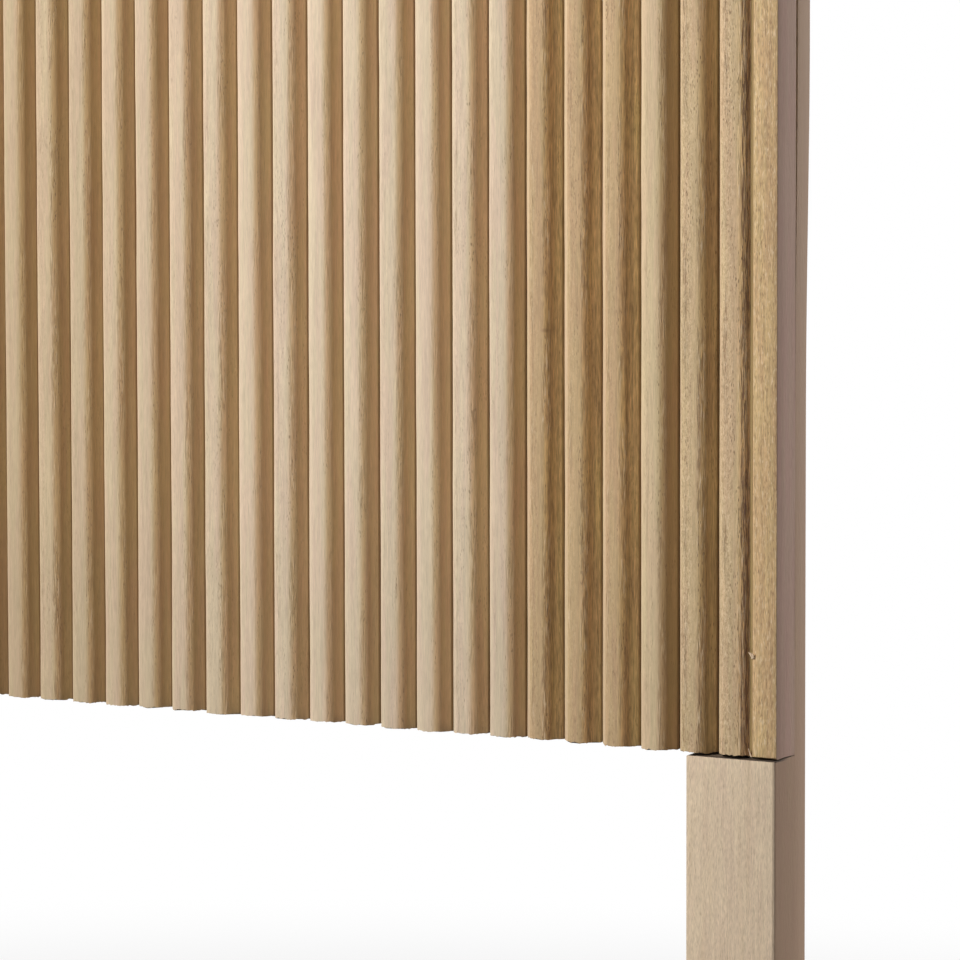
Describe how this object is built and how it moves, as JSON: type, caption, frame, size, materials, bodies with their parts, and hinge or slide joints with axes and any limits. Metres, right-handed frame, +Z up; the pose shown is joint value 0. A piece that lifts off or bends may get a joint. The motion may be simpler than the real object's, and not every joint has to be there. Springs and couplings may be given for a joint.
{
  "type": "headboard",
  "caption": "Wooden headboard with a reeded front of flat-topped upright slats between plain end strips, on two square legs whose laps run up behind the panel.",
  "frame": {"origin": "centre of the headboard's outer box, on the floor", "axes": "+X to the right for someone who looks at the front, front faces -Y, +Z up"},
  "size_m": [1.0058, 0.0364, 1.2],
  "materials": {
    "slat_wood": "matt oiled",
    "strip_wood": "matt oiled",
    "leg_wood": "matt oiled",
    "plywood": "raw",
    "rail_wood": "raw planed",
    "zinc_steel": "zinc plated",
    "insert_alloy": "turned",
    "glide_plastic": "moulded"
  },
  "bodies": {
    "root": {"slat_01": "slat_wood", "slat_02": "slat_wood", "slat_03": "slat_wood", "slat_04": "slat_wood", "slat_05": "slat_wood", "slat_06": "slat_wood", "slat_07": "slat_wood", "slat_08": "slat_wood", "slat_09": "slat_wood", "slat_10": "slat_wood", "slat_11": "slat_wood", "slat_12": "slat_wood", "slat_13": "slat_wood", "slat_14": "slat_wood", "slat_15": "slat_wood", "slat_16": "slat_wood", "slat_17": "slat_wood", "slat_18": "slat_wood", "slat_19": "slat_wood", "slat_20": "slat_wood", "slat_21": "slat_wood", "slat_22": "slat_wood", "slat_23": "slat_wood", "slat_24": "slat_wood", "slat_25": "slat_wood", "slat_26": "slat_wood", "slat_27": "slat_wood", "slat_28": "slat_wood", "slat_29": "slat_wood", "slat_30": "slat_wood", "slat_31": "slat_wood", "slat_32": "slat_wood", "slat_33": "slat_wood", "slat_34": "slat_wood", "slat_35": "slat_wood", "slat_36": "slat_wood", "slat_37": "slat_wood", "slat_38": "slat_wood", "slat_39": "slat_wood", "end_strip_left": "strip_wood", "end_strip_right": "strip_wood", "top_cap": "strip_wood", "backing_board": "plywood", "leg_left": "leg_wood", "leg_right": "leg_wood", "back_rail_bottom": "rail_wood", "back_rail_middle": "rail_wood", "back_rail_top": "rail_wood", "leg_bolts": "zinc_steel", "leg_washers": "zinc_steel", "threaded_inserts": "insert_alloy", "foot_glide_left": "glide_plastic", "foot_glide_right": "glide_plastic"}
  },
  "joints": []
}
